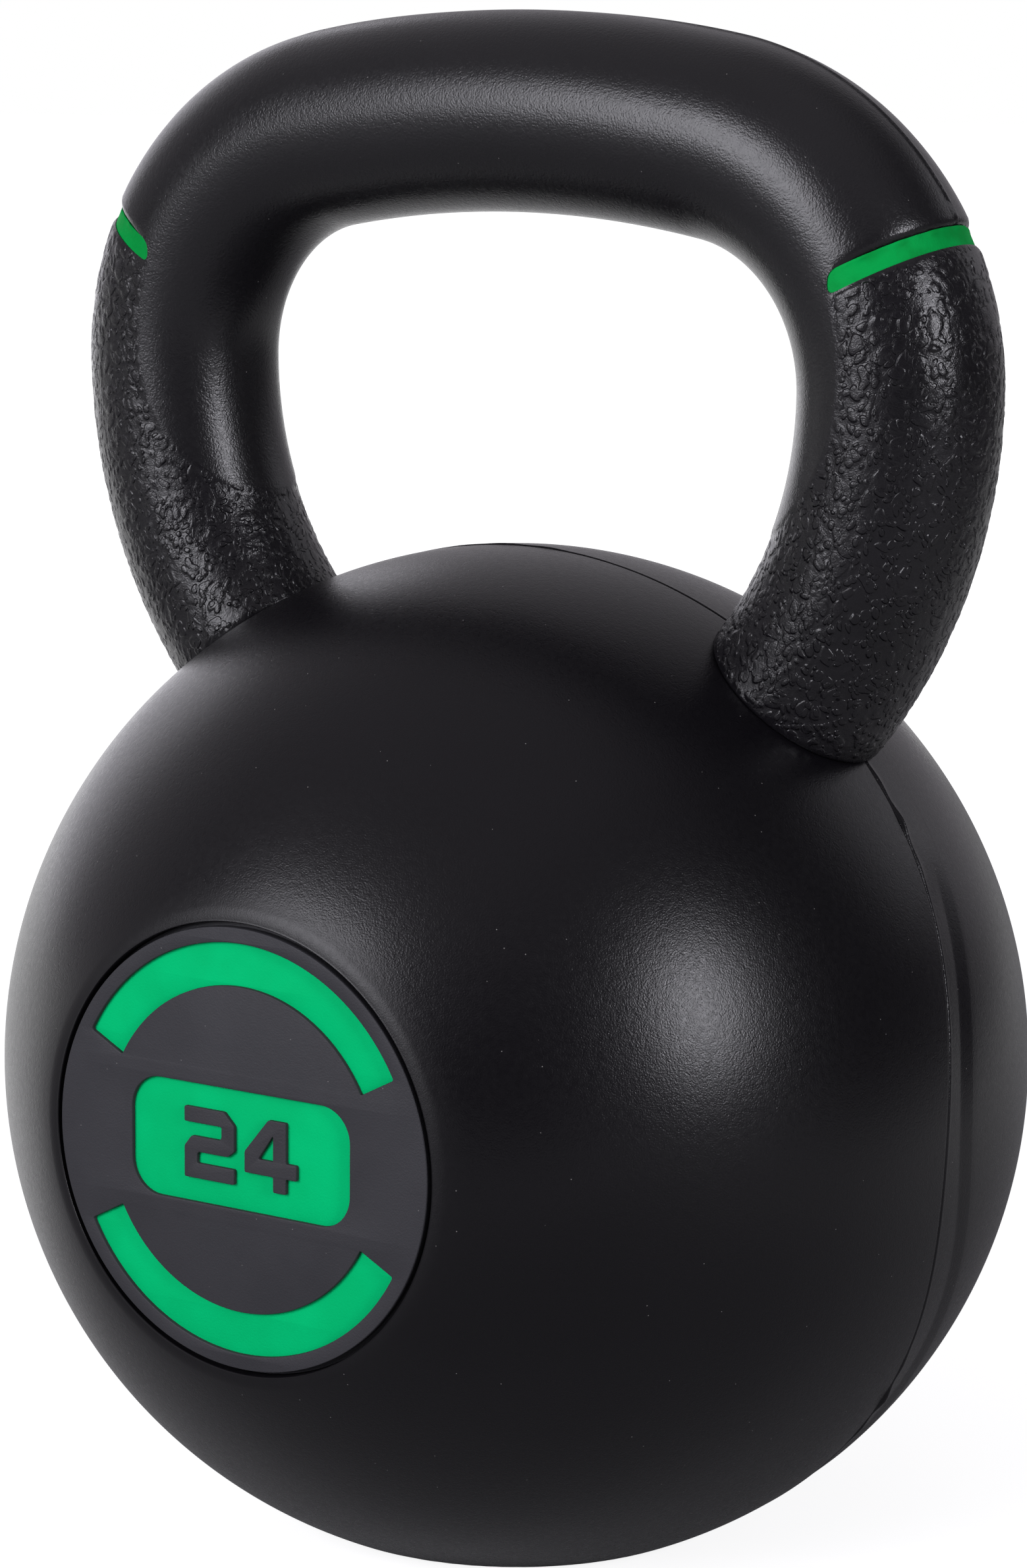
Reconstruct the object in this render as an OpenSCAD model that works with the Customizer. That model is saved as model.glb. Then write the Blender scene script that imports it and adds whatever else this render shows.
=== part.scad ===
// Kettlebell with a rubber-coated iron ball, a smooth grip sleeve that runs down the
// inside of each horn as a tongue, textured horn pads, two coloured bands and a round
// number disc let into the front of the ball.
// Millimetres. Origin: centre of the base. +Z up, the disc faces -Y.

/* [Ball] */
// Diameter of the ball over its coat
ball_d = 190; // [160:1:230]
// Diameter of the flat that the ball stands on
base_d = 80; // [60:1:110]
// Thickness of the rubber on the ball
coat_t = 4.7; // [3:0.1:8]
// Width of the flat rim round the disc's pocket
rim_w = 3.2; // [1:0.1:5]
// Distance from the disc's axis at which the rim's shoulder runs out into the ball
shoulder_reach = 62; // [54:1:70]

/* [Handle] */
// Overall width of the handle
handle_w = 190.8; // [170:1:215]
// Diameter of the bar over its rubber
grip_d = 36; // [30:0.5:42]
// Clear height of the window, from the top of the ball to the grip
window_h = 60.7; // [50:0.1:80]
// Radius of the grip's shallow arch, to the middle of the bar
arch_r = 225; // [180:1:300]
// Radius of each corner, to the middle of the bar
corner_r = 43.8; // [36:0.1:50]
// Radius of each horn below its corner, to the middle of the bar
horn_r = 84; // [76:0.5:110]
// Thickness of the rubber on the bar
sleeve_t = 4.6; // [3:0.1:7]

/* [Grip tongues] */
// Height of each tongue's tip above the top of the ball
tongue_lift = 5.5; // [2:0.5:20]
// Radius of the tongue's rounded end
tongue_r = 29.5; // [20:0.5:34]
// Distance from the horn's widest middle line in to the tongue's edge
tongue_inset = 3.3; // [1:0.1:8]

/* [Bands] */
// Width of each coloured band
band_w = 4.2; // [2:0.1:8]
// Depth of the band below the rubber beside it
band_depth = 1.3; // [0.5:0.1:2.5]
// Direction of the bar at the band, in degrees below level
band_dip = 62.8; // [50:0.1:75]
// Chamfer on the end of the grip at a band
grip_chamfer = 1.2; // [0.3:0.1:2]
// Chamfer on the top of each pad at a band
pad_chamfer = 0.5; // [0.2:0.1:1.5]

/* [Number disc] */
// Diameter of the disc's face
disc_d = 77.2; // [60:0.1:90]
// Width of the groove round the disc
groove_w = 0.9; // [0.5:0.1:2]
// Depth of the groove round the disc
groove_depth = 1.4; // [0.8:0.1:2]
// Thickness of the disc
disc_t = 3; // [2.5:0.1:4]
// Chamfer on the edge of the disc's face
disc_chamfer = 0.3; // [0.1:0.1:0.8]
// Thickness of the coat left behind the disc
pocket_floor_t = 2; // [1:0.1:4]
// Clearance round the disc's flange
disc_fit = 0.1; // [0.05:0.05:0.3]

/* [Inlays] */
// Distance from the edge of the disc's face in to the two ring inlays
ring_margin = 2.6; // [1.5:0.1:6]
// Width of the ring inlays
ring_w = 7.5; // [4:0.5:9]
// Angle that each ring inlay spans
ring_span = 124; // [60:1:150]
// Length of the number panel
panel_l = 46; // [36:1:52]
// Height of the number panel
panel_h = 21; // [16:1:26]
// Corner radius of the number panel
panel_r = 6; // [2:0.5:8]
// Thickness of the inlays
inlay_t = 0.9; // [0.5:0.1:1.4]
// Depth of the inlays below the disc's face
inlay_depth = 1.2; // [0.5:0.1:1.5]

/* [Hidden] */
$fn = 96;

rubber_black = [0.06, 0.06, 0.065];
disc_black = [0.10, 0.10, 0.105];
inlay_green = [0.0, 0.60, 0.32];
iron_grey = [0.30, 0.30, 0.31];

// Ball
ball_r = ball_d / 2;
ball_z = sqrt(pow(ball_r, 2) - pow(base_d / 2, 2));
ball_top = ball_z + ball_r;
core_r = ball_r - coat_t;

// Handle centreline: an arch, two corners and two horns, each an arc that leaves the
// one before it in the same direction. A corner hands over to its horn where the bar
// runs straight down. A dip is the angle below level at which the bar runs at a place.
bar_r = grip_d / 2;
iron_bar_r = bar_r - sleeve_t;
arch_top = ball_top + window_h + bar_r;
corner_dip = asin((handle_w / 2 - bar_r - corner_r) / (arch_r - corner_r));
arch_centre = [0, arch_top - arch_r];
corner_centre = arch_centre + (arch_r - corner_r) * [sin(corner_dip), cos(corner_dip)];
horn_centre = corner_centre + [corner_r - horn_r, 0];
horn_end_share = 0.8; // of the core's radius, where a horn ends inside the core
horn_turn = turn_to_reach(horn_centre, horn_r, horn_end_share * core_r);
arch_step = 0.1;
arch_lap = 0.3;
trim_turn = 37; // keeps the seam of the cone that trims the grip off the seam of the bar

// Tongue: the part of a horn's inside that stays smooth
tongue_x = corner_centre[0] + corner_r - tongue_inset;
tongue_z = ball_top + tongue_lift + tongue_r;

// Disc: its face is level with the rim of its pocket
disc_r = disc_d / 2;
pocket_r = disc_r + groove_w;
face_y = sqrt(pow(ball_r, 2) - pow(pocket_r, 2));
pocket_y = face_y - disc_t;
core_face_y = pocket_y - pocket_floor_t;
inlay_floor_y = face_y - inlay_depth - inlay_t;
ring_out_r = disc_r - ring_margin;

// Shoulder: a second, smaller sphere that carries the flat rim and dies into the ball
rim_r = pocket_r + rim_w;
shoulder_y = sqrt(pow(ball_r, 2) - pow(shoulder_reach, 2));
shoulder_centre = (pow(rim_r, 2) + pow(face_y, 2) - pow(ball_r, 2)) / (2 * (face_y - shoulder_y));
shoulder_r = norm([rim_r, face_y - shoulder_centre]);

reach = 2 * (arch_top + handle_w); // longer than anything that it cuts

// Turn below level at which an arc about c comes down to a distance from the ball's centre
function turn_to_reach(c, r, distance) =
    let (to_ball = [0, ball_z] - c, d = norm(to_ball))
    -atan2(to_ball[1], to_ball[0]) - acos((d * d + r * r - distance * distance) / (2 * d * r));

// A round bar bent about a centre, up from where it runs straight down
module bent_bar(centre, r, section_r, turn) {
    translate([centre[0], 0, centre[1]])
        rotate([90, 0, 0])
            rotate_extrude(angle = turn) translate([r, 0]) circle(section_r);
}

module horn_bar(section_r) {
    bent_bar(corner_centre, corner_r, section_r, 90 - corner_dip);
    bent_bar(horn_centre, horn_r, section_r, -horn_turn);
}

module both_sides() {
    children();
    mirror([1, 0, 0]) children();
}

// The whole handle. The arch is slimmer by a step too small to see, and laps into the
// corners, so that they join as one solid.
module handle_bar(section_r) {
    half_turn = corner_dip + arch_lap;
    translate([arch_centre[0], 0, arch_centre[1]])
        rotate([90, half_turn - 90, 0])
            rotate_extrude(angle = 2 * half_turn)
                translate([arch_r, 0]) circle(section_r - arch_step);
    both_sides() horn_bar(section_r);
}

// A cutter through the handle, from an outline in the front view
module front_cut() {
    rotate([90, 0, 0]) linear_extrude(2 * grip_d, center = true) children();
}

// Places an outline at the band: x runs down the bar, y outwards from the corner's centre
module at_band() {
    translate(corner_centre) rotate(-band_dip) children();
}

// Stands a solid on the bar at the band's middle, with its z down the bar
module on_band() {
    translate([corner_centre[0], 0, corner_centre[1]])
        rotate([0, band_dip, 0])
            translate([0, 0, corner_r]) rotate([0, 90, 0]) children();
}

// What a chamfer takes off the bar, from the band's lower side down
module end_trim(size) {
    translate([0, 0, band_w / 2])
        difference() {
            cylinder(h = 2 * size, r = bar_r + 2 * size);
            cylinder(h = 2 * size, r1 = bar_r - size, r2 = bar_r + size);
        }
}

module tongue_outline() {
    translate([0, tongue_z]) square([tongue_x, reach]);
    translate([tongue_x - tongue_r, tongue_z]) circle(tongue_r);
}

// The right-hand horn, apart from its tongue, from a distance past the band's middle
module horn_outline(from) {
    difference() {
        intersection() {
            at_band() translate([from, -reach / 2]) square(reach);
            translate([0, -reach / 2]) square(reach);
        }
        tongue_outline();
    }
}

module band_outline() {
    difference() {
        at_band() translate([-band_w / 2, corner_r - bar_r]) square([band_w, grip_d]);
        tongue_outline();
    }
}

module ball(r) {
    translate([0, 0, ball_z]) sphere(r, $fn = 2 * $fn);
}

// The half of space below a height, and the half in front of a distance
module below(z) {
    translate([-reach / 2, -reach / 2, z - reach]) cube(reach);
}

module in_front_of(y) {
    translate([-reach / 2, y - reach, -reach / 2]) cube(reach);
}

module iron() {
    difference() {
        ball(core_r);
        below(coat_t);
        in_front_of(-core_face_y);
    }
    handle_bar(iron_bar_r);
}

module coat() {
    difference() {
        union() {
            ball(ball_r);
            on_front(shoulder_centre) sphere(shoulder_r, $fn = 2 * $fn);
        }
        below(0);
        in_front_of(-face_y);
        iron();
    }
}

// Stands a shape on the front of the ball, with its z as the distance from the centre
module on_front(y) {
    translate([0, 0, ball_z]) rotate([90, 0, 0]) translate([0, 0, y]) children();
}

module ring_inlay_outline() {
    intersection() {
        difference() {
            circle(ring_out_r);
            circle(ring_out_r - ring_w);
        }
        polygon([
            [0, 0],
            reach * [-sin(ring_span / 2), cos(ring_span / 2)],
            reach * [0, 1],
            reach * [sin(ring_span / 2), cos(ring_span / 2)]
        ]);
    }
}

module panel_outline() {
    square([panel_l - 2 * panel_r, panel_h], center = true);
    square([panel_l, panel_h - 2 * panel_r], center = true);
    for (x = [-1, 1], y = [-1, 1])
        translate([x * (panel_l / 2 - panel_r), y * (panel_h / 2 - panel_r)])
            circle(panel_r);
}

module inlay() {
    on_front(inlay_floor_y) linear_extrude(inlay_t) children();
}

module iron_core() {
    color(iron_grey) iron();
}

module coat_front() {
    color(rubber_black)
        difference() {
            intersection() {
                coat();
                in_front_of(0);
            }
            on_front(pocket_y) cylinder(h = ball_r, r = pocket_r);
        }
}

module coat_rear() {
    color(rubber_black)
        difference() {
            coat();
            in_front_of(0);
        }
}

module handle_grip() {
    color(rubber_black)
        difference() {
            handle_bar(bar_r);
            handle_bar(iron_bar_r);
            both_sides() front_cut() horn_outline(-band_w / 2);
            both_sides()
                intersection() {
                    on_band() rotate([180, 0, trim_turn]) end_trim(grip_chamfer);
                    front_cut() horn_outline(-band_w / 2 - 3 * grip_chamfer);
                }
        }
}

module horn_pad_right() {
    color(rubber_black)
        difference() {
            intersection() {
                horn_bar(bar_r);
                front_cut() horn_outline(band_w / 2);
            }
            horn_bar(iron_bar_r);
            ball(ball_r);
            on_band() end_trim(pad_chamfer);
        }
}

module horn_pad_left() {
    mirror([1, 0, 0]) horn_pad_right();
}

module band_right() {
    color(inlay_green)
        difference() {
            intersection() {
                horn_bar(bar_r - band_depth);
                front_cut() band_outline();
            }
            horn_bar(iron_bar_r);
        }
}

module band_left() {
    mirror([1, 0, 0]) band_right();
}

module disc() {
    color(disc_black)
        difference() {
            union() {
                on_front(pocket_y)
                    cylinder(h = disc_t - groove_depth, r = pocket_r - disc_fit);
                on_front(pocket_y)
                    cylinder(h = disc_t - disc_chamfer, r = disc_r);
                on_front(face_y - disc_chamfer)
                    cylinder(h = disc_chamfer, r1 = disc_r, r2 = disc_r - disc_chamfer);
            }
            on_front(inlay_floor_y) linear_extrude(disc_t) {
                ring_inlay_outline();
                rotate(180) ring_inlay_outline();
                panel_outline();
            }
        }
}

module ring_inlay_upper() {
    color(inlay_green) inlay() ring_inlay_outline();
}

module ring_inlay_lower() {
    color(inlay_green) inlay() rotate(180) ring_inlay_outline();
}

module number_panel() {
    color(inlay_green) inlay() panel_outline();
}

iron_core();
coat_front();
coat_rear();
handle_grip();
horn_pad_left();
horn_pad_right();
band_left();
band_right();
disc();
ring_inlay_upper();
ring_inlay_lower();
number_panel();
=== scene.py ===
import math

import bmesh
import bpy
import numpy as np
from mathutils import Matrix, Vector
from mathutils.geometry import delaunay_2d_cdt
from mathutils.kdtree import KDTree


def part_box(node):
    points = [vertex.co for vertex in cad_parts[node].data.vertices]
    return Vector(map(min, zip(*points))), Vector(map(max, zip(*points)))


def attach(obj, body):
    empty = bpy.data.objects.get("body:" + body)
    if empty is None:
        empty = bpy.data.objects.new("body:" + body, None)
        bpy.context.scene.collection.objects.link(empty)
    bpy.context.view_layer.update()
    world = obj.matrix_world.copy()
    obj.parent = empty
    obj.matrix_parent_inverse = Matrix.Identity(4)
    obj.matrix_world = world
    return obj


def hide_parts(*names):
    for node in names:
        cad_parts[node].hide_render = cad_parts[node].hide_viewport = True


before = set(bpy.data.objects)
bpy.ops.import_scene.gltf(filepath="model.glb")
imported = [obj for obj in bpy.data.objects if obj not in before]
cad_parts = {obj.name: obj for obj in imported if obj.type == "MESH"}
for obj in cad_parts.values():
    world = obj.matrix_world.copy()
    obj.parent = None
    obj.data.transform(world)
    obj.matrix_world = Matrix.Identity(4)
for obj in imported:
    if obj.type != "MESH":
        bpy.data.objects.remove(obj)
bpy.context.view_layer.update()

mm = 0.001


def boxInMm(node):
    low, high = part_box(node)
    return [round(v / mm, 3) for v in low], [round(v / mm, 3) for v in high]


def addObject(name, data):
    made = bpy.data.objects.new(name, data)
    bpy.context.scene.collection.objects.link(made)
    return made


def smoothStep(value, start, end):
    t = np.clip((value - start) / (end - start), 0, 1)
    return t * t * (3 - 2 * t)


def hump(value, middle, width):
    # 1 at middle, with a soft fall to both sides
    return np.exp(-(((value - middle) / width) ** 2))


class Wire:
    # One output of a node. Sums and products of wires add Math nodes to its tree.
    def __init__(self, board, socket):
        self.board = board
        self.socket = socket

    def math(self, operation, *values):
        return self.board.add("ShaderNodeMath", {"operation": operation}, dict(enumerate(values)))[0]

    def __add__(self, other):
        return self.math("ADD", self, other)

    __radd__ = __add__

    def __sub__(self, other):
        return self.math("SUBTRACT", self, other)

    def __rsub__(self, other):
        return self.math("SUBTRACT", other, self)

    def __mul__(self, other):
        return self.math("MULTIPLY", self, other)

    __rmul__ = __mul__

    def __truediv__(self, other):
        return self.math("DIVIDE", self, other)

    def __rtruediv__(self, other):
        return self.math("DIVIDE", other, self)

    def __neg__(self):
        return self.math("MULTIPLY", self, -1.0)

    def most(self, other):
        return self.math("MAXIMUM", self, other)

    def over(self, limit):
        return self.math("GREATER_THAN", self, limit)

    def root(self):
        return self.math("SQRT", self)

    def soften(self, start, end):
        # 0 at start and 1 at end, with a soft run between them
        return self.board.add(
            "ShaderNodeMapRange",
            {"interpolation_type": "SMOOTHSTEP"},
            {"Value": self, "From Min": start, "From Max": end},
        )["Result"]


class Outputs:
    def __init__(self, board, node):
        self.board = board
        self.node = node

    def __getitem__(self, key):
        return Wire(self.board, self.node.outputs[key])


class Board:
    # A node tree that nodes are added to: type, settings, then values or links of the sockets
    def __init__(self, tree):
        self.tree = tree

    def add(self, kind, settings=None, values=None):
        node = self.tree.nodes.new(kind)
        for name, value in (settings or {}).items():
            setattr(node, name, value)
        for key, value in (values or {}).items():
            if isinstance(value, Wire):
                self.tree.links.new(value.socket, node.inputs[key])
            else:
                node.inputs[key].default_value = value
        return Outputs(self, node)

    def vector(self, operation, *values):
        return self.add("ShaderNodeVectorMath", {"operation": operation}, dict(enumerate(values)))

    def parts(self, vector):
        return self.add("ShaderNodeSeparateXYZ", None, {0: vector})

    def scaled(self, vector, factor):
        return self.add("ShaderNodeVectorMath", {"operation": "SCALE"}, {0: vector, "Scale": factor})[0]

    def blend(self, factor, first, second):
        settings = {"data_type": "RGBA"}
        return self.add("ShaderNodeMix", settings, {0: factor, 6: first, 7: second})[2]

    def noise(self, place, size, detail=2.0, roughness=0.5):
        # size is the width of one blob in mm
        values = {"Vector": place, "Scale": 1 / (size * mm), "Detail": detail, "Roughness": roughness}
        return self.add("ShaderNodeTexNoise", None, values)["Fac"]

    def bump(self, height):
        # height in mm
        values = {"Strength": 1.0, "Distance": mm, "Height": height}
        return self.add("ShaderNodeBump", None, values)["Normal"]


def linear(colour):
    return tuple(c / 12.92 if c <= 0.04045 else ((c + 0.055) / 1.055) ** 2.4 for c in colour) + (1.0,)


def newMaterial(name):
    material = bpy.data.materials.new(name)
    material.use_nodes = True
    material.node_tree.nodes.clear()
    return material, Board(material.node_tree)


def finishMaterial(board, constants, varying):
    shader = board.add("ShaderNodeBsdfPrincipled", None, {**constants, **varying})
    board.add("ShaderNodeOutputMaterial", None, {"Surface": shader["BSDF"]})


# Flat-topped drops of the horn pads, one in a cell of each random pattern. Sizes in mm, radius as a
# share of a cell, bare as the share of cells that have none, rise as a share of the full height
drops = (
    {"size": 5.2, "radius": 0.34, "stretch": 0.6, "bare": 0.60, "shift": (3.1, 2.2, -3.1), "rise": 0.7},
    {"size": 2.5, "radius": 0.34, "stretch": 1.1, "bare": 0.03, "shift": (7.7, 5.4, -7.7), "rise": 1.0},
    {"size": 1.5, "radius": 0.33, "stretch": 1.0, "bare": 0.05, "shift": (1.9, 1.3, -1.9), "rise": 0.95},
)
# Warp bends the pattern, squash draws the drops out upwards, and from one height down to another the
# bigger drops sink by these shares. Slope is the width of their sides in the mesh. A drop has the
# least share of its radius and up to spread more
dropField = {
    "warpScale": 330.0, "warp": 2.0, "squash": 0.78, "meshSlope": 0.55,
    "axisMiddle": (0.5, 0.5, 0.4), "least": 0.75, "spread": 0.5,
    "fineFrom": 228, "fineTo": 196, "bigShare": 0.85, "middleShare": 0.5,
}


def dropLayer(board, place, look, slope):
    moved = board.vector("ADD", board.scaled(place, 1 / (look["size"] * mm)), look["shift"])[0]
    cells = board.add("ShaderNodeTexVoronoi", None, {"Vector": moved, "Scale": 1.0})
    offset = board.vector("SUBTRACT", moved, cells["Position"])[0]
    axis = board.vector("SUBTRACT", cells["Color"], dropField["axisMiddle"])[0]
    axis = board.vector("NORMALIZE", axis)[0]
    along = board.vector("DOT_PRODUCT", offset, axis)["Value"]
    length = board.vector("LENGTH", offset)["Value"]
    chance = board.parts(cells["Color"])
    across = (length * length - along * along).most(0.0)
    radius = look["radius"] * (dropField["least"] + chance[0] * dropField["spread"])
    reach = 1 + chance[1] * look["stretch"]
    egg = ((along / reach) * (along / reach) + across).root() / radius
    width = slope / (look["size"] * look["radius"])
    return egg.soften(1.0 + width / 2, 1.0 - width / 2) * chance[2].over(look["bare"])


def dropHeights(board, place, slope):
    # Height of the drops at a place, from 0 to 1; slope is the width of their sides in mm
    field = dropField
    values = {"Vector": place, "Scale": field["warpScale"], "Detail": 0.0}
    warp = board.add("ShaderNodeTexNoise", None, values)["Color"]
    warp = board.vector("SUBTRACT", warp, (0.5, 0.5, 0.5))[0]
    moved = board.vector("ADD", place, board.scaled(warp, field["warp"] * mm))[0]
    moved = board.vector("MULTIPLY", moved, (1.0, 1.0, field["squash"]))[0]
    big, middle, small = (dropLayer(board, moved, look, slope) * look["rise"] for look in drops)
    height = board.parts(place)[2]
    fine = height.soften(field["fineFrom"] * mm, field["fineTo"] * mm)
    big = big * (1 - fine * field["bigShare"])
    middle = middle * (1 - fine * field["middleShare"])
    return big.most(middle).most(small)


# Rubber and plastic. Sizes and depths in mm; patch is the width of the spots where dark turns light.
# Round the pocket the ball is duller and has less grain, from the outer radius to the inner one
finishes = {
    "ballRubber": {
        "dark": (0.033, 0.029, 0.040), "light": (0.044, 0.039, 0.051), "patch": 45,
        "roughness": 0.28, "roughSpread": 0.04, "gloss": 0.25,
        "grainSize": 0.31, "grainDepth": 0.042, "hideSize": 1.0, "hideDepth": 0.014, "dust": 0.4,
        "rim": (47.0, 40.4), "rimFront": (-80, -70), "rimRough": 0.10, "rimDepth": 0.5,
    },
    "gripRubber": {
        "dark": (0.065, 0.062, 0.070), "light": (0.077, 0.074, 0.082), "patch": 38,
        "roughness": 0.27, "roughSpread": 0.04, "gloss": 0.31,
        "grainSize": 0.36, "grainDepth": 0.056, "hideSize": 0.9, "hideDepth": 0.020, "dust": 0.4,
    },
    "padRubber": {
        "dark": (0.046, 0.042, 0.053), "light": (0.062, 0.057, 0.069), "patch": 22,
        "roughness": 0.27, "roughSpread": 0.05, "gloss": 0.31,
        "grainSize": 0.30, "grainDepth": 0.052, "hideSize": 0.8, "hideDepth": 0.030, "dust": 0.3,
        "dropDepth": 0.230, "dropSlope": 0.19,
    },
    "discPlastic": {
        "dark": (0.168, 0.167, 0.180), "light": (0.180, 0.179, 0.192), "patch": 14,
        "roughness": 0.55, "roughSpread": 0.04, "gloss": 0.20,
        "grainSize": 0.33, "grainDepth": 0.046, "hideSize": 1.1, "hideDepth": 0.012, "dust": 0.3,
    },
    "inlayGreen": {
        "dark": (0.0, 0.655, 0.385), "light": (0.0, 0.680, 0.405), "patch": 12,
        "roughness": 0.70, "roughSpread": 0.05, "gloss": 0.03,
        "grainSize": 0.36, "grainDepth": 0.040, "hideSize": 1.2, "hideDepth": 0.012, "dust": 0.0,
    },
    "bandGreen": {
        "dark": (0.0, 0.500, 0.205), "light": (0.0, 0.560, 0.245), "patch": 6,
        "roughness": 0.65, "roughSpread": 0.06, "gloss": 0.05,
        "grainSize": 0.45, "grainDepth": 0.050, "hideSize": 1.2, "hideDepth": 0.050, "dust": 0.0,
    },
}
patchEdge = (0.35, 0.65)
dustLook = {"cell": 3.4, "edge": (0.035, 0.022), "colour": (0.62, 0.61, 0.60)}


def makeFinish(name, look):
    material, board = newMaterial(name)
    place = board.add("ShaderNodeTexCoord")["Object"]
    patch = board.noise(place, look["patch"], 2.0).soften(*patchEdge)
    fine = board.noise(place, look["grainSize"], 1.0, 0.6)
    hide = board.noise(place, look["hideSize"], 0.0)
    height = fine * look["grainDepth"] + hide * look["hideDepth"]
    rough = look["roughness"] + (hide - 0.5) * (2 * look["roughSpread"])
    if "rim" in look:
        outer, inner = look["rim"]
        front, rear = look["rimFront"]
        part = board.parts(place)
        up = part[2] - ballCentreZ * mm
        away = (part[0] * part[0] + up * up).root() + part[1].soften(front * mm, rear * mm)
        rim = away.soften(outer * mm, inner * mm)
        height = height * (1 - rim * look["rimDepth"])
        rough = rough + rim * look["rimRough"]
    if "dropDepth" in look:
        share = board.add("ShaderNodeAttribute", {"attribute_name": "pebbleShare"})["Fac"]
        height = height + dropHeights(board, place, look["dropSlope"]) * share * look["dropDepth"]
    colour = board.blend(patch, linear(look["dark"]), linear(look["light"]))
    if look["dust"]:
        values = {"Vector": place, "Scale": 1 / (dustLook["cell"] * mm)}
        specks = board.add("ShaderNodeTexVoronoi", None, values)["Distance"]
        share = specks.soften(*dustLook["edge"]) * look["dust"]
        colour = board.blend(share, colour, linear(dustLook["colour"]))
    varying = {"Base Color": colour, "Roughness": rough, "Normal": board.bump(height)}
    finishMaterial(board, {"IOR": 1.5, "Specular IOR Level": look["gloss"]}, varying)
    return material


ironLook = {
    "dark": (0.20, 0.20, 0.21), "light": (0.33, 0.32, 0.32), "patch": 24, "sandSize": 1.1, "sandDepth": 0.25,
    "metal": 0.85, "roughness": 0.5, "roughSpread": 0.25, "stainEdge": (0.4, 0.62),
}


def makeCastIron(look):
    material, board = newMaterial("castIron")
    place = board.add("ShaderNodeTexCoord")["Object"]
    sand = board.noise(place, look["sandSize"], 4.0, 0.65)
    stain = board.noise(place, look["patch"], 4.0).soften(*look["stainEdge"])
    colour = board.blend(stain, linear(look["dark"]), linear(look["light"]))
    rough = look["roughness"] + sand * look["roughSpread"]
    varying = {"Base Color": colour, "Roughness": rough, "Normal": board.bump(sand * look["sandDepth"])}
    finishMaterial(board, {"Metallic": look["metal"]}, varying)
    return material


# Sizes from the frame, in mm
_, coatHigh = boxInMm("coat_rear")
_, gripHigh = boxInMm("handle_grip")
_, padHigh = boxInMm("horn_pad_right")
discLow, _ = boxInMm("disc")

ballRadius = coatHigh[0]
ballCentreZ = coatHigh[2] - ballRadius
faceDepth = -discLow[1]  # from the ball's centre to the disc's face
barRadius = padHigh[1]
halfWidth = padHigh[0]

# The bar's middle line: a flat arch, a corner and a horn to each side. The solid's top lies archStep
# under the true arch. tongueLean is how much wider the tongue is beside the band, and for how far
barShape = {
    "archRadius": 225, "cornerRadius": 43.8, "hornRadius": 84, "archStep": 0.1, "sleeve": 4.6,
    "tongueLift": 5.5, "tongueRadius": 29.5, "tongueInset": 3.3, "tongueLean": (1.9, 13),
    "bandWidth": 3.6, "bandDepth": 0.85, "bandDip": 62.8, "bandCorner": 1.7, "bandEndRun": 9,
}

materials = {name: makeFinish(name, look) for name, look in finishes.items()}
materials["castIron"] = makeCastIron(ironLook)
print("materials made:", ", ".join(materials))

archR, cornerR, hornR = (barShape[k] for k in ("archRadius", "cornerRadius", "hornRadius"))
archTop = gripHigh[2] - barRadius + barShape["archStep"]
cornerDip = math.asin((halfWidth - barRadius - cornerR) / (archR - cornerR))
archZ = archTop - archR
cornerX = (archR - cornerR) * math.sin(cornerDip)
cornerZ = archZ + (archR - cornerR) * math.cos(cornerDip)
hornX = cornerX + cornerR - hornR
archRun = archR * cornerDip
cornerRun = archRun + cornerR * (math.pi / 2 - cornerDip)
tongueX = cornerX + cornerR - barShape["tongueInset"]
tongueZ = ballCentreZ + ballRadius + barShape["tongueLift"] + barShape["tongueRadius"]


def barLine(run):
    # Middle of the bar and its outward direction, by the distance along it from the top of the arch
    run = np.asarray(run, float)
    side = np.where(run < 0, -1.0, 1.0)
    away = np.abs(run)
    onArch, onCorner = away < archRun, away < cornerRun
    corner = cornerDip + (away - archRun) / cornerR
    horn = math.pi / 2 + (away - cornerRun) / hornR
    dip = np.where(onArch, away / archR, np.where(onCorner, corner, horn))
    radius = np.where(onArch, archR, np.where(onCorner, cornerR, hornR))
    x = np.where(onArch, 0.0, np.where(onCorner, cornerX, hornX)) + radius * np.sin(dip)
    z = np.where(onArch, archZ, cornerZ) + radius * np.cos(dip)
    return x * side, z, np.sin(dip) * side, np.cos(dip)


def barPoint(run, turn, radius):
    x, z, outX, outZ = barLine(run)
    reach = radius * np.cos(turn)
    return np.stack([x + reach * outX, radius * np.sin(turn), z + reach * outZ], -1)


leanStart = archRun + cornerR * (math.radians(barShape["bandDip"]) - cornerDip)


def tongueTurn(run):
    # Angle from the outermost line of the horn to the tongue's edge, at a distance along the bar
    x, z, outX, outZ = barLine(run)
    r, bend = barRadius, barShape["tongueRadius"]
    lean, leanRun = barShape["tongueLean"]
    edgeX = tongueX - lean * (1 - smoothStep(run, leanStart, leanStart + leanRun))
    straight = (edgeX - x) / (r * outX)
    straight = np.where(z + r * straight * outZ >= tongueZ, straight, -9.0)
    toX, toZ = x - (tongueX - bend), z - tongueZ
    half = outX * toX + outZ * toZ
    square = half * half - (toX * toX + toZ * toZ - bend * bend)
    curved = (-half + np.sqrt(np.maximum(square, 0))) / r
    curved = np.where(square < 0, -1.0, curved)
    share = np.where(straight > -5, straight, curved)
    return np.arccos(np.clip(share, -1, 1))


def bandEdge(turn, offset):
    # Distance along the bar to a line beside the band's middle, offset in mm
    reach = cornerR + barRadius * np.cos(turn)
    dip = math.radians(barShape["bandDip"]) + np.arcsin(offset / reach)
    return archRun + cornerR * (dip - cornerDip)


def bandLine(turns, offset):
    # The same line in the flat pattern: run, mm round the bar
    return np.stack([bandEdge(turns, offset), turns * barRadius], -1)


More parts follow.
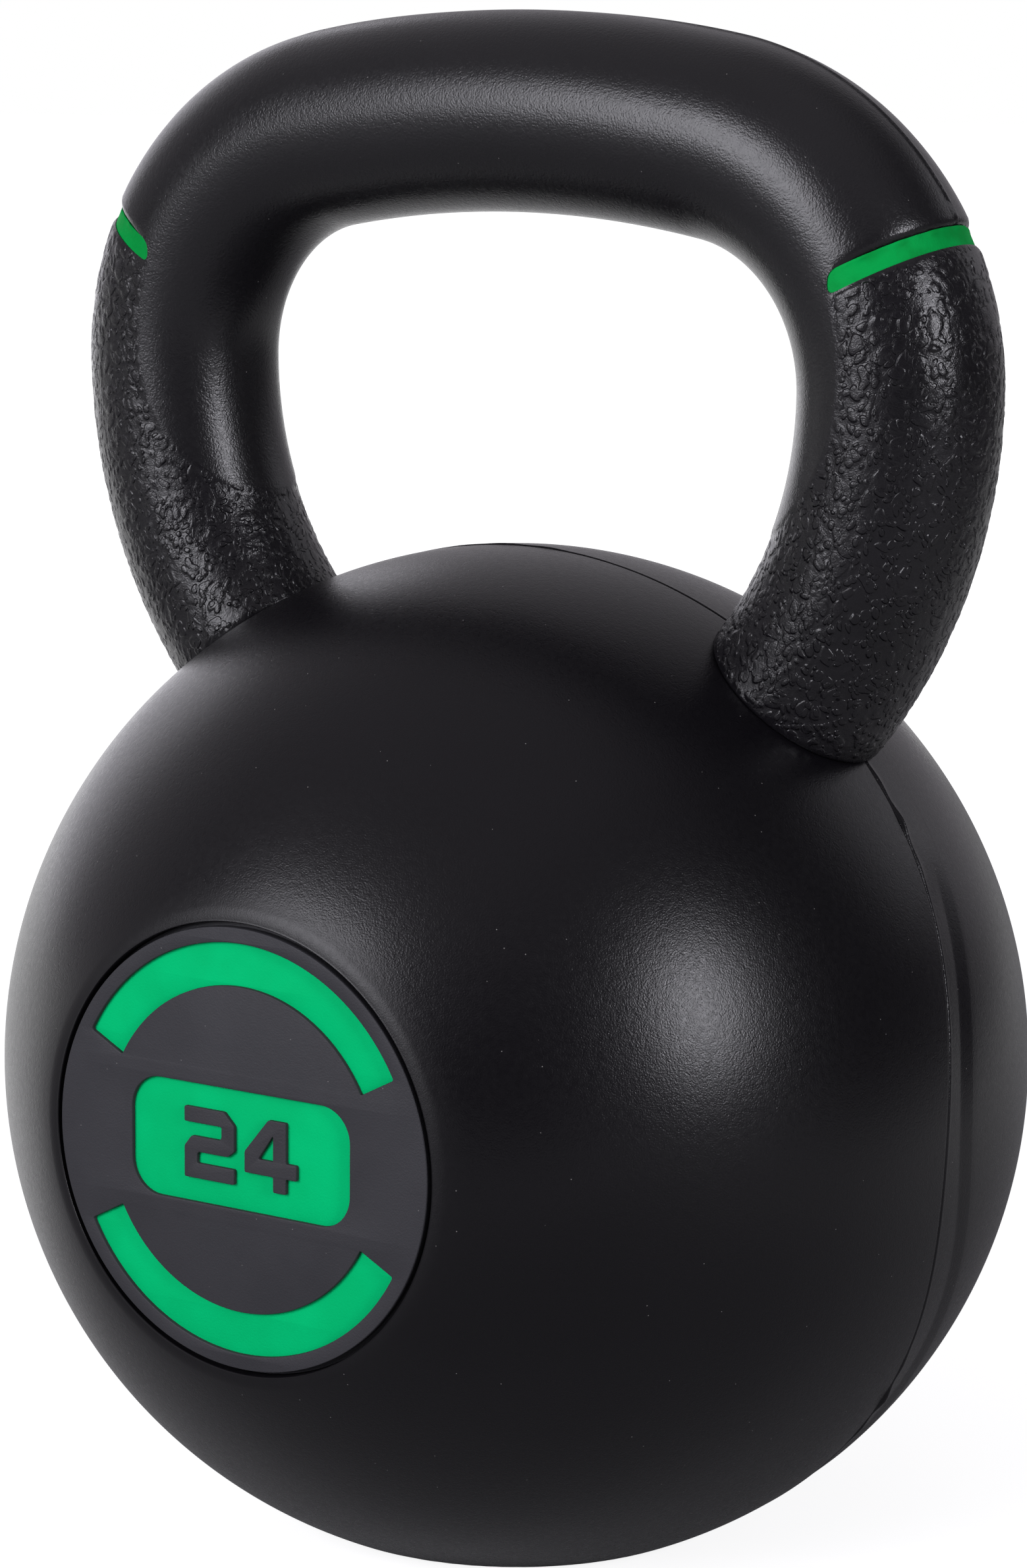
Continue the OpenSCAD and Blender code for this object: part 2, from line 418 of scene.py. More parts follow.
def ballEdge(turn, sink):
    # Distance along the bar at which its surface goes under the ball's
    low, high = np.full(np.shape(turn), cornerRun), np.full(np.shape(turn), cornerRun + 110.0)
    centre = np.array([0, 0, ballCentreZ])
    for _ in range(40):
        middle = (low + high) / 2
        outside = np.linalg.norm(barPoint(middle, turn, barRadius) - centre, axis=-1) > ballRadius - sink
        low, high = np.where(outside, middle, low), np.where(outside, high, middle)
    return (low + high) / 2


def lengthsAlong(line):
    return np.r_[0, np.cumsum(np.linalg.norm(np.diff(line, axis=0), axis=1))]


def evenSteps(line, step):
    # The same line with points at even steps
    line = np.asarray(line, float)
    along = lengthsAlong(line)
    count = max(2, int(round(along[-1] / step)) + 1)
    wanted = np.linspace(0, along[-1], count)
    return np.stack([np.interp(wanted, along, part) for part in line.T], -1)


halfBand = barShape["bandWidth"] / 2
runs = np.linspace(cornerRun - 30, cornerRun + 60, 60001)
tipRun = runs[np.argmax(tongueTurn(runs) >= math.pi - 1e-6)]


def edgeMeetsTongue(offset):
    some = np.linspace(cornerRun - 30, cornerRun, 20001)
    return some[np.argmax(some - bandEdge(tongueTurn(some), offset) > 0)]


upperMeet, lowerMeet = edgeMeetsTongue(-halfBand), edgeMeetsTongue(halfBand)
upperTurn, lowerTurn = (float(tongueTurn(np.array([meet]))[0]) for meet in (upperMeet, lowerMeet))


def cut(line, length):
    # The line's first part, up to a length, and the rest; a negative length counts from the end
    along = lengthsAlong(line)
    length = length if length > 0 else along[-1] + length
    point = [[np.interp(length, along, part) for part in line.T]]
    return np.r_[line[along < length - 0.05], point], np.r_[point, line[along > length + 0.05]]


def trimmed(line, length):
    # The line without a length at each end
    return cut(cut(line, -length)[0], length)[1]


def arcBetween(start, corner, end, count=7):
    # Points that round a corner off, between two places beside it
    t = np.linspace(0, 1, count)[:, None]
    return (1 - t) ** 2 * start + 2 * t * (1 - t) * corner + t * t * end


def tongueLine(start):
    # The tongue's edge on the rear side in the flat pattern, from a distance along the bar to the tip
    share = np.linspace(0, 1, 8001)
    run = start + (tipRun - start) * (1 - (1 - share) ** 3)
    turn = tongueTurn(run)
    turn[-1] = math.pi
    return np.stack([run, turn * barRadius], -1)


padStep = 0.31
coarseStep = 5  # for the side of a pattern that lies on the bar
longTongue = evenSteps(tongueLine(lowerMeet), padStep)


# Flat patterns that are rolled onto the bar: run along it, then mm round it
def nearness(points, lines):
    # Distance from each point to the nearest of the lines' points
    marks = np.concatenate([evenSteps(line, 0.12) for line in lines])
    tree = KDTree(len(marks))
    for i, (u, v) in enumerate(marks):
        tree.insert((u, v, 0), i)
    tree.balance()
    return np.array([tree.find((u, v, 0))[2] for u, v in points])


def clearOf(line, points, gap):
    return points[nearness(points, [line]) > gap]


def honeycomb(low, high, step):
    rows = np.arange(low[1], high[1], step * math.sqrt(0.75))
    columns = np.arange(low[0], high[0], step)
    u, v = np.meshgrid(columns, rows)
    u = u + (np.arange(len(rows)) % 2)[:, None] * step / 2
    return np.stack([u.ravel(), v.ravel()], -1)


def triangulate(border, inner):
    points = np.concatenate([border, inner])
    verts, _, faces, source, _, _ = delaunay_2d_cdt(
        [Vector(p) for p in points], [], [list(range(len(border)))], 1, 1e-7
    )
    index = [s[0] for s in source]
    return points, np.array([[index[i] for i in f] for f in faces])


def solidPattern(border, openSides, fine, coarse, top, bottom):
    # Closed solid over a flat outline: a fine upper face, a coarse lower one, and walls on its open sides
    upperPoints, upperFaces = triangulate(border, fine)
    lowerPoints, lowerFaces = triangulate(border, coarse)
    upper = np.c_[upperPoints, top(upperPoints)]
    lower = np.c_[lowerPoints, np.full(len(lowerPoints), bottom)]
    count, edge = len(upper), len(border)
    faces = [list(f) for f in upperFaces] + [[count + i for i in f[::-1]] for f in lowerFaces]
    crisp = []
    for i in range(edge):
        j = (i + 1) % edge
        if openSides[i]:
            faces.append([j, i, count + i, count + j])
            crisp += [(i, j), (count + i, count + j)]
            before, after = border[i] - border[i - 1], border[j] - border[i]
            if before @ after < 0.8 * np.linalg.norm(before) * np.linalg.norm(after):
                crisp.append((i, count + i))
    return np.concatenate([upper, lower]), faces, count, crisp


def joinLines(parts):
    # One closed outline out of lines that follow each other, and whether each of its sides is open
    points, flags = [], []
    for line, isOpen in parts:
        points.append(line[:-1])
        flags += [isOpen] * (len(line) - 1)
    return np.concatenate(points), flags


def edgeNumbers(pairs, count):
    # One number for each pair of points, whichever comes first
    return np.sort(np.reshape(pairs, (-1, 2)), axis=1) @ [count, 1]


def patternMesh(name, points, faces, crisp, shares):
    mesh = bpy.data.meshes.new(name)
    mesh.from_pydata([tuple(p) for p in points * mm], [], faces)
    mesh.validate()
    attribute = mesh.attributes.new("pebbleShare", "FLOAT", "POINT")
    attribute.data.foreach_set("value", shares.astype(np.float32))
    ends = np.zeros(len(mesh.edges) * 2, int)
    mesh.edges.foreach_get("vertices", ends)
    sharp = mesh.attributes.new("sharp_edge", "BOOLEAN", "EDGE")
    sharp.data.foreach_set("value", np.isin(edgeNumbers(ends, len(points)), edgeNumbers(crisp, len(points))))
    return mesh


weldDistance = 0.00001  # in metres


def rollTree():
    # Rolls a flat pattern onto the bar and raises its drops
    tree = bpy.data.node_groups.new("rollOntoBar", "GeometryNodeTree")
    sockets = [
        ("Geometry", "NodeSocketGeometry"), ("Path", "NodeSocketObject"), ("Bar radius", "NodeSocketFloat"),
        ("Half length", "NodeSocketFloat"), ("Pebble height", "NodeSocketFloat"),
        ("Finish", "NodeSocketMaterial"),
    ]
    for name, kind in sockets:
        tree.interface.new_socket(name=name, in_out="INPUT", socket_type=kind)
    tree.interface.new_socket(name="Geometry", in_out="OUTPUT", socket_type="NodeSocketGeometry")
    board = Board(tree)
    given = board.add("NodeGroupInput")
    flat = board.parts(board.add("GeometryNodeInputPosition")[0])
    path = board.add("GeometryNodeObjectInfo", None, {"Object": given["Path"]})["Geometry"]
    run = flat[0] + given["Half length"]
    line = board.add("GeometryNodeSampleCurve", {"mode": "LENGTH"}, {"Curves": path, "Length": run})
    rear = (0.0, 1.0, 0.0)
    outward = board.vector("CROSS_PRODUCT", line["Tangent"], rear)[0]
    turn = flat[1] / given["Bar radius"]
    direction = board.vector(
        "ADD", board.scaled(outward, turn.math("COSINE", turn)), board.scaled(rear, turn.math("SINE", turn))
    )[0]
    skin = board.vector("ADD", line["Position"], board.scaled(direction, given["Bar radius"]))[0]
    share = board.add("GeometryNodeInputNamedAttribute", {"data_type": "FLOAT"}, {"Name": "pebbleShare"})[0]
    pebble = dropHeights(board, skin, dropField["meshSlope"]) * share
    reach = given["Bar radius"] + flat[2] + pebble * given["Pebble height"]
    place = board.vector("ADD", line["Position"], board.scaled(direction, reach))[0]
    steps = (
        ("SetPosition", {"Position": place}), ("MergeByDistance", {"Distance": weldDistance}),
        ("SetShadeSmooth", {"Shade Smooth": True}), ("RealizeInstances", {}),
        ("SetMaterial", {"Material": given["Finish"]}),
    )
    made = given["Geometry"]
    for kind, values in steps:
        made = board.add("GeometryNode" + kind, None, {0: made, **values})[0]
    board.add("NodeGroupOutput", None, {"Geometry": made})
    return tree


def barPath(halfLength):
    # The bar's middle line as a curve, only for the tree to follow
    run = np.linspace(-halfLength, halfLength, 1601)
    x, z, _, _ = barLine(run)
    curve = bpy.data.curves.new("barPath", "CURVE")
    curve.dimensions = "3D"
    spline = curve.splines.new("POLY")
    spline.points.add(len(run) - 1)
    points = np.stack([x * mm, 0 * x, z * mm, 0 * x + 1], -1)
    spline.points.foreach_set("co", points.ravel())
    return addObject("barPath", curve)


def plainMesh(source, name):
    # The evaluated object as a plain mesh, without its modifiers
    graph = bpy.context.evaluated_depsgraph_get()
    mesh = bpy.data.meshes.new_from_object(source.evaluated_get(graph))
    mesh.name = name
    source.modifiers.clear()
    source.data = mesh
    source.name = name
    return source


def rollOntoBar(name, mesh, finish, pebbleHeight=0.0):
    piece = addObject(name, mesh)
    modifier = piece.modifiers.new("roll", "NODES")
    modifier.node_group = rollGroup
    values = {
        "Path": path, "Bar radius": barRadius * mm, "Half length": pathHalf * mm,
        "Pebble height": pebbleHeight * mm, "Finish": materials[finish],
    }
    for item in rollGroup.interface.items_tree:
        if item.in_out == "INPUT" and item.name in values:
            modifier[item.identifier] = values[item.name]
    return plainMesh(piece, name)


def mirrored(points, faces):
    flipped = points.copy()
    flipped[:, 0] *= -1
    return flipped, [f[::-1] for f in faces]


def seat(piece, slot, *nodes):
    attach(piece, "root")
    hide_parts(*nodes)


def makePair(name, node, pattern, shares, finish, slot, pebbleHeight=0.0):
    # The right piece and its mirror image on the left
    points, faces, _, crisp = pattern
    for side in ("Right", "Left"):
        p, f = (points, faces) if side == "Right" else mirrored(points, faces)
        mesh = patternMesh(name + side, p, f, crisp, shares)
        piece = rollOntoBar(name + side, mesh, finish, pebbleHeight)
        seat(piece, slot, node + side.lower())
        print(piece.name, len(piece.data.polygons), "faces")


def roundFall(radius, away):
    # How far a rounded edge lies under the flat, by the distance from it
    rest = radius - np.clip(away, 0, radius)
    return radius - np.sqrt(radius**2 - rest**2)


pathHalf = float(ballEdge(np.array([0.0, math.pi]), 3.0).max() + 6)
path = barPath(pathHalf)
rollGroup = rollTree()
around = 2 * math.pi * barRadius

# Grip sleeve: lengths in mm. A ridge where the mould's halves met runs along its outer line. The gaps
# keep the points inside the outline clear of it and of each other
gripLook = {
    "step": 1.3, "edgeStep": 0.5, "endRound": 1.5, "leastRound": 0.12,
    "ridgeHeight": 0.28, "ridgeWidth": 0.45, "ridgeFade": (8, 40),
    "ridgeStop": 0.8, "ridgeRows": [0.25, 0.5, 0.8, 1.2, 1.7], "roundRows": [0.12, 0.35, 0.7, 1.1, 1.6],
    "seamStep": 0.8, "rowStep": 0.9, "rowEnd": 3,
    "rowGap": 0.1, "fineGap": 0.6, "ridgeGap": 2.2, "roundGap": 2.1, "coarseGap": 2,
}


def gripTop(lines, bandEnds):
    look = gripLook

    def height(points):
        away = nearness(points, lines)
        # The rounding runs out where the band ends, beside the tongue
        beside = smoothStep(nearness(points, bandEnds), 0.5, barShape["bandEndRun"])
        fall = roundFall(look["endRound"], away) * (look["leastRound"] + (1 - look["leastRound"]) * beside)
        off = np.minimum(points[:, 1], around - points[:, 1])
        ridge = look["ridgeHeight"] * hump(off, 0, look["ridgeWidth"])
        ridge *= smoothStep(np.abs(points[:, 0]), *look["ridgeFade"])
        return ridge * (away > look["ridgeStop"]) - fall

    return height


def rearOf(line):
    # The same line the other way round the bar
    return (line * [1, -1] + [0, around])[::-1]


def leftOf(line):
    return (line * [-1, 1])[::-1]


def insideGrip(points):
    run, turn = np.abs(points[:, 0]), points[:, 1] / barRadius
    turn = np.minimum(turn, 2 * math.pi - turn)
    beforeBand = run < bandEdge(turn, -halfBand)
    onTongue = (turn > tongueTurn(np.maximum(run, cornerRun - 30))) & (run < tipRun)
    return (turn > 0) & (beforeBand | onTongue)


def makeGrip():
    look, corner = gripLook, barShape["bandCorner"]
    edge = evenSteps(bandLine(np.linspace(0, upperTurn, 400), -halfBand), look["edgeStep"])
    beside = tongueLine(upperMeet)
    beside = evenSteps(beside[beside[:, 0] < lowerMeet], look["edgeStep"])
    tongue = np.concatenate([beside[:-1], longTongue])
    edge, below = cut(np.r_[edge[:-1], tongue[:1]], -corner)[0], cut(tongue, corner)[1]
    side = np.concatenate([edge[:-1], arcBetween(edge[-1], tongue[0], below[0])[:-1], below])
    seam = evenSteps([[-edge[0][0], 0], [edge[0][0], 0]], look["seamStep"])
    border, openSides = joinLines([
        (seam, False), (side, True), (rearOf(side), True),
        (rearOf(seam), False), (leftOf(rearOf(side)), True), (leftOf(side), True),
    ])
    # Rows of points along the ridge and the rounded ends, and a honeycomb between them
    along = np.arange(-seam[-1][0] + look["rowEnd"], seam[-1][0] - look["rowEnd"], look["rowStep"])
    offs = look["ridgeRows"] + [around - row for row in look["ridgeRows"]]
    rows = [np.stack([along, np.full(len(along), off)], -1) for off in offs]
    turns = np.linspace(0, 2 * math.pi, 240)[1:-1]
    for row in look["roundRows"]:
        line = bandLine(turns, -halfBand - row)
        rows += [line, line * [-1, 1]]
    rows = np.concatenate(rows)
    rows = clearOf(border, rows, look["rowGap"])
    fine = honeycomb((-tipRun, 0.5), (tipRun, around - 0.5), look["step"])
    fine = clearOf(border, fine, look["fineGap"])
    offRidge = np.minimum(fine[:, 1], around - fine[:, 1]) > look["ridgeGap"]
    toGroove = np.abs(np.abs(fine[:, 0]) - bandEdge(fine[:, 1] / barRadius, -halfBand))
    fine = fine[offRidge & (toGroove > look["roundGap"])]
    fine = np.concatenate([fine[insideGrip(fine)], rows[insideGrip(rows)]])
    gap = look["coarseGap"]
    coarse = clearOf(border, honeycomb((-tipRun, gap), (tipRun, around - gap), coarseStep), gap)
    coarse = coarse[insideGrip(coarse)]
    grooves, ends = ([line, rearOf(line), leftOf(line), leftOf(rearOf(line))] for line in (edge, beside))
    points, faces, _, crisp = solidPattern(
        border, openSides, fine, coarse, gripTop(grooves, ends), -barShape["sleeve"]
    )
    mesh = patternMesh("gripSleeve", points, faces, crisp, np.zeros(len(points)))
    grip = rollOntoBar("gripSleeve", mesh, "gripRubber")
    seat(grip, "grip_rubber", "handle_grip")
    print("grip sleeve:", len(grip.data.polygons), "faces")


makeGrip()

# Horn pads: lengths in mm. Beside the tongue they are sunk and bare, and the drops fade in from every
# edge: fade beside the tongue, bandFade beside the band and ballFade beside the ball. fineGap is a
# share of the step
padLook = {
    "step": padStep, "sink": 0.5, "endRound": 0.9, "topRound": 0.5, "sunk": 0.32, "fade": (0.3, 2.0),
    "height": 0.12, "topSlope": 0.7, "sunkRun": (0.1, 2.4), "fineGap": 0.55, "coarseGap": 1.5,
    "bandFade": (0.2, 1.0), "ballFade": (0.6, 2.0),
}


def padTop(bandLines, tongueLines, ballLines):
    look = padLook

    def height(points):
        toBand, toTongue, toBall = (nearness(points, lines) for lines in (bandLines, tongueLines, ballLines))
        top = look["topSlope"] * np.maximum(look["topRound"] - toBand, 0)
        top *= smoothStep(toTongue, 0.5, barShape["bandEndRun"])
        fall = roundFall(look["endRound"], toBall - look["sink"])
        return -look["sunk"] * smoothStep(toTongue, *look["sunkRun"]) - top - fall

    return height


def makePads():
    look, step = padLook, padLook["step"]
    edge = evenSteps(bandLine(np.linspace(-lowerTurn, lowerTurn, 800), halfBand), step)
    edge[0], edge[-1] = longTongue[0] * [1, -1], longTongue[0]
    above = tongueLine(upperMeet)
    above = evenSteps(above[above[:, 0] < lowerMeet], step)
    above[-1] = longTongue[0]
    rear = np.concatenate([cut(above, -barShape["bandCorner"])[1][:-1], longTongue])
    front = rear * [1, -1]
    middle = trimmed(edge, barShape["bandCorner"])
    corner = arcBetween(rear[0], edge[-1], middle[-1])
    top = np.concatenate([corner[:-1], middle[::-1], (corner[::-1] * [1, -1])[1:]])
    endTurns = np.linspace(-math.pi, math.pi, 1600)
    end = evenSteps(np.stack([ballEdge(endTurns, look["sink"]), endTurns * barRadius], -1), step)
    reach = math.pi * barRadius
    seam = evenSteps([[tipRun, reach], [end[-1][0], reach]], step)
    # The outline runs down the front of the tongue, round by the ball and back up: anticlockwise
    border, openSides = joinLines([
        (front, True), (seam * [1, -1], False), (end, True), (seam[::-1], False), (rear[::-1], True),
        (top, True),
    ])

    def inside(p):
        turn = p[:, 1] / barRadius
        below = p[:, 0] > bandEdge(turn, halfBand)
        besideTongue = (p[:, 0] > tipRun) | (np.abs(turn) < tongueTurn(p[:, 0]))
        return below & besideTongue & (p[:, 0] < ballEdge(turn, look["sink"]))

    low, high = (edge[:, 0].min(), -reach), (end[:, 0].max(), reach)
    fine, coarse = (honeycomb(low, high, size) for size in (step, coarseStep))
    fine = clearOf(border, fine[inside(fine)], look["fineGap"] * step)
    coarse = clearOf(border, coarse[inside(coarse)], look["coarseGap"])
    tongues, balls = [front, rear], [end]
    height = padTop([edge], tongues, balls)
    pattern = solidPattern(border, openSides, fine, coarse, height, -barShape["sleeve"])
    points, count = pattern[0], pattern[2]
    flat = points[:count, :2]
    share = smoothStep(nearness(flat, tongues), *look["fade"])
    share = share * smoothStep(nearness(flat, [edge]), *look["bandFade"])
    share *= smoothStep(nearness(flat, balls), *(look["sink"] + away for away in look["ballFade"]))
    shares = np.r_[share, np.zeros(len(points) - count)]
    makePair("hornPad", "horn_pad_", pattern, shares, "padRubber", "pad_rubber", look["height"])


makePads()

# Bands, let into the groove between the grip and the pads, with ragged flash along the upper side.
# Each wave of the flash: share, length round the bar over 2 pi, start
bandLook = {
    "step": 0.5, "rows": (-1.55, -1.3, -1.0, -0.4, 0.3, 1.0), "gap": 0.2, "endDepth": 0.2,
    "flashHeight": 0.4, "flashWidth": 0.3, "flashOff": 0.25, "flashLeast": 0.5,
    "waves": ((0.3, 1.3, 0), (0.25, 0.57, 1), (0.2, 3.1, 2)),
}


def bandTop(upper, ends):
    look = bandLook

    def height(points):
        deep = smoothStep(nearness(points, ends), 0, barShape["bandEndRun"])
        ragged = look["flashLeast"]
        for share, length, start in look["waves"]:
            ragged = ragged + share * np.sin(points[:, 1] / length + start)
        flash = look["flashHeight"] * np.clip(ragged, 0, 1)
        flash *= hump(nearness(points, [upper]), look["flashOff"], look["flashWidth"])
        return flash * deep - (look["endDepth"] + (barShape["bandDepth"] - look["endDepth"]) * deep)

    return height


def makeBands():
    look, corner = bandLook, barShape["bandCorner"]
    upper, lower = (
        evenSteps(bandLine(np.linspace(-turn, turn, 400), offset), look["step"])
        for turn, offset in ((upperTurn, -halfBand), (lowerTurn, halfBand))
    )
    sideRuns = np.linspace(upperMeet, lowerMeet, 40)
    rear = np.stack([sideRuns, tongueTurn(sideRuns) * barRadius], -1)
    rear[0], rear[-1] = upper[-1], lower[-1]
    top, side, bottom = (trimmed(line, corner) for line in (upper, rear, lower))
    upperArc = arcBetween(top[-1], rear[0], side[0])
    lowerArc = arcBetween(side[-1], rear[-1], bottom[-1])
    end = np.concatenate([upperArc[:-1], side[:-1], lowerArc])
    outline = [end * [1, -1], bottom, end[::-1], top[::-1]]
    border, openSides = joinLines([(line, True) for line in outline])
    half = min(upperTurn, lowerTurn) * barRadius - 0.6
    along = np.arange(-half, half, look["step"])
    inner = np.array([(bandEdge(v / barRadius, row), v) for v in along for row in look["rows"]])
    inner = clearOf(border, inner, look["gap"])
    offMiddle = np.abs(inner[:, 0] - (upperMeet + lowerMeet) / 2)
    inner = inner[(np.abs(inner[:, 1]) < half - corner) | (offMiddle < 0.9)]
    height = bandTop(upper, [rear, rear * [1, -1]])
    pattern = solidPattern(border, openSides, inner, inner[::6], height, -barShape["sleeve"])
    makePair("band", "band_", pattern, np.zeros(len(pattern[0])), "bandGreen", "band_green")


makeBands()
bpy.data.objects.remove(path)

# Ball coat: lengths in mm, angles in degrees
coatLook = {
    "around": 480, "step": 1.25, "fineStep": 0.22, "fineTo": 28, "thick": 4.7,
    "pocketRadius": 39.5, "pocketDepth": 3.0, "floorThick": 2.0,
    "rimBevel": 0.25, "collarSoft": 0.9, "collarLift": 0.45, "collarFade": (26, 46),
    "baseSoft": 0.5, "stripDepth": 0.5, "stripWidth": 3.6,
    "stripEnds": {"upper": (22, 30), "lower": (40, 55)},
    "seamRings": (0.9, 0.6, 0.4, 0.25, 0.15, 0.07, 0.0), "seamRun": 1.2, "stripSide": 0.08,
    "stripAfter": 1.4, "frontMiddle": 62, "rearMiddle": 118, "rearEnd": 179.2, "innerFrom": 24,
    "baseRim": (-6, -1),
}
# The mould's parting line and the strip behind it lie behind the ball's middle plane and bow forwards
# under the horns. The line is a groove with a lip, and has flash by the horns' roots and on top: each
# as height, place behind the line and width
seamLook = {"place": 1.5, "bow": 10, "width": 25, "turn": -3}
stripLook = {"place": 8, "bow": 9.5, "width": 20, "turn": 1}
flashLook = {
    "groove": (-0.20, 0.0, 0.25), "lip": (0.05, 0.35, 0.30),
    "roots": (0.30, 0.6, 0.45), "rootPlace": (34, 5),
    "top": (0.22, 0.45, 0.35), "topPlaces": ((92, 9, 1.0), (55, 4, 0.8)),
    "waves": ((0.5, 7.3, 0), (0.4, 17.9, 1)),
}


def wrapped(angle):
    return (angle + 180) % 360 - 180


def lineBehind(look, phi):
    # How far behind the middle plane a line of the coat lies, by the angle round the disc's axis
    right, left = wrapped(phi - look["turn"]), wrapped(180 - phi - look["turn"])
    return look["place"] - look["bow"] * (hump(right, 0, look["width"]) + hump(left, 0, look["width"]))


def flashAt(name, behind):
    height, place, width = flashLook[name]
    return height * hump(behind, place, width)


def softLeast(a, b, soft):
    gap = np.clip(soft - np.abs(a - b), 0, None) / soft
    return np.minimum(a, b) - gap * gap * soft / 4


def coatReach(theta, phi):
    # Distance from the ball's centre to its skin; theta is the angle from the disc's axis
    look = coatLook
    ball = ballRadius + look["collarLift"] * (1 - smoothStep(np.degrees(theta), *look["collarFade"]))
    collar = faceDepth / np.maximum(np.cos(theta), 0.05)
    reach = np.where(theta < 1.2, softLeast(ball, collar, look["collarSoft"]), ball)
    down = -np.sin(theta) * np.sin(np.radians(phi))
    reach = softLeast(reach, ballCentreZ / np.maximum(down, 0.02), look["baseSoft"])
    # Distances behind the parting line and the strip's middle, and the angle from the nearer side
    behind = -reach * np.cos(theta)
    seam, strip = lineBehind(seamLook, phi), lineBehind(stripLook, phi)
    side = np.minimum(np.abs(wrapped(phi)), np.abs(wrapped(180 - phi)))
    ragged = 1.0
    for share, waves, shift in flashLook["waves"]:
        ragged = ragged + share * np.sin(side * waves + shift)
    onTop = sum(share * hump(phi, middle, width) for middle, width, share in flashLook["topPlaces"])
    flash = flashAt("lip", behind - seam) + flashAt("groove", behind - seam)
    flash += flashAt("roots", behind - seam) * ragged * hump(side, *flashLook["rootPlace"])
    flash += flashAt("top", behind - seam) * ragged * onTop
    upper = np.sin(np.radians(phi)) > 0
    start, end = (np.where(upper, *ends) for ends in zip(*look["stripEnds"].values()))
    half = look["stripWidth"] / 2
    fall = np.clip((behind - seam) / np.maximum(strip - half - seam, 1), 0, 1)
    rise = np.clip((behind - strip + half) / look["stripWidth"], 0, 1)
    step = look["stripDepth"] * (1 - smoothStep(side, start, end)) * (fall - rise)
    onBase = smoothStep(down * reach, *(ballCentreZ + z for z in look["baseRim"]))
    return reach + flash * (1 - onBase) - step


def ringAt(radius, y, phi):
    angle = np.radians(phi)
    x, z = radius * np.cos(angle), ballCentreZ + radius * np.sin(angle)
    return np.stack([x, y + 0 * x, z], -1)


def outerRing(theta, phi):
    reach = coatReach(theta, phi)
    return ringAt(reach * np.sin(theta), -reach * np.cos(theta), phi)


def innerRing(theta, phi):
    # Inside of the coat: a sphere with a flat at the front and one at the bottom
    front = faceDepth - coatLook["pocketDepth"] - coatLook["floorThick"]
    reach = np.minimum(ballRadius - coatLook["thick"], front / np.maximum(np.cos(theta), 0.05))
    down = -np.sin(theta) * np.sin(np.radians(phi))
    reach = np.minimum(reach, (ballCentreZ - coatLook["thick"]) / np.maximum(down, 0.02))
    return ringAt(reach * np.sin(theta), -reach * np.cos(theta), phi)


def closeSkin(piece, angle, merge=None):
    # Faces outwards, after doubles are merged, and sides that meet at more than an angle kept crisp
    work = bmesh.new()
    work.from_mesh(piece.data)
    if merge:
        bmesh.ops.remove_doubles(work, verts=work.verts, dist=merge)
    bmesh.ops.recalc_face_normals(work, faces=work.faces)
    work.to_mesh(piece.data)
    work.free()
    piece.data.shade_smooth()
    piece.data.set_sharp_from_angle(angle=math.radians(angle))


def lathe(name, firstPole, rings, lastPole, finish):
    # Closed skin over rings that go round the ball from one pole to the other
    count = len(rings[0])
    points = np.concatenate([[firstPole]] + rings + [[lastPole]])
    faces = []
    for k in range(len(rings) - 1):
        a, b = 1 + k * count, 1 + (k + 1) * count
        faces += [[a + i, a + (i + 1) % count, b + (i + 1) % count, b + i] for i in range(count)]
    faces += [[0, 1 + (i + 1) % count, 1 + i] for i in range(count)]
    last, end = 1 + (len(rings) - 1) * count, len(points) - 1
    faces += [[end, last + i, last + (i + 1) % count] for i in range(count)]
    mesh = bpy.data.meshes.new(name)
    mesh.from_pydata([tuple(p) for p in points * mm], [], faces)
    mesh.validate()
    mesh.materials.append(materials[finish])
    piece = addObject(name, mesh)
    closeSkin(piece, 38)
    return piece


